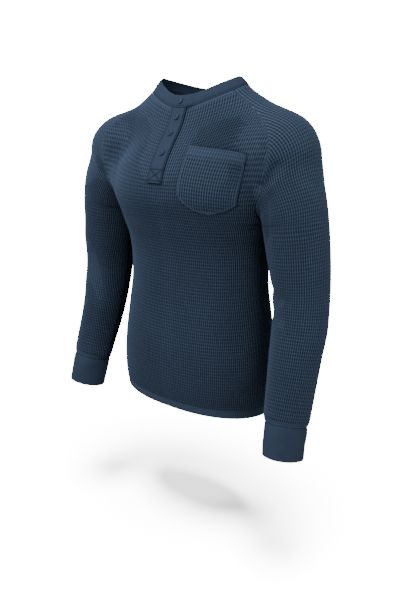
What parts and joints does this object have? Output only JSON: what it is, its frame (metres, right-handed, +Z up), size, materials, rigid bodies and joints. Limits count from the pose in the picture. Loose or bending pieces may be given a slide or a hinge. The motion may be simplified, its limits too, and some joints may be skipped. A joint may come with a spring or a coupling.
{
  "type": "long-sleeved henley shirt",
  "caption": "Long-sleeved waffle-knit henley with raglan sleeves, buttoned half placket, band collar, chest pocket and ribbed cuffs, hollow as worn.",
  "frame": {"origin": "between the shoulders, at the height where the neck meets them", "axes": "+Z up towards the neck; the front faces -Y; the wearer's left is +X"},
  "size_m": [0.6185, 0.271, 0.7178],
  "materials": {
    "waffle_knit": "matt navy cotton waffle knit",
    "plain_rib": "matt navy plain knit, folded double",
    "button_resin": "dyed resin, satin"
  },
  "bodies": {
    "root": {"front": "waffle_knit", "back": "waffle_knit", "sleeve_left": "waffle_knit", "sleeve_right": "waffle_knit", "pocket": "waffle_knit", "cuff_left": "plain_rib", "cuff_right": "plain_rib", "collar": "plain_rib", "placket": "plain_rib", "placket_under": "plain_rib", "button_1": "button_resin", "button_2": "button_resin", "button_3": "button_resin", "button_4": "button_resin"}
  },
  "joints": []
}
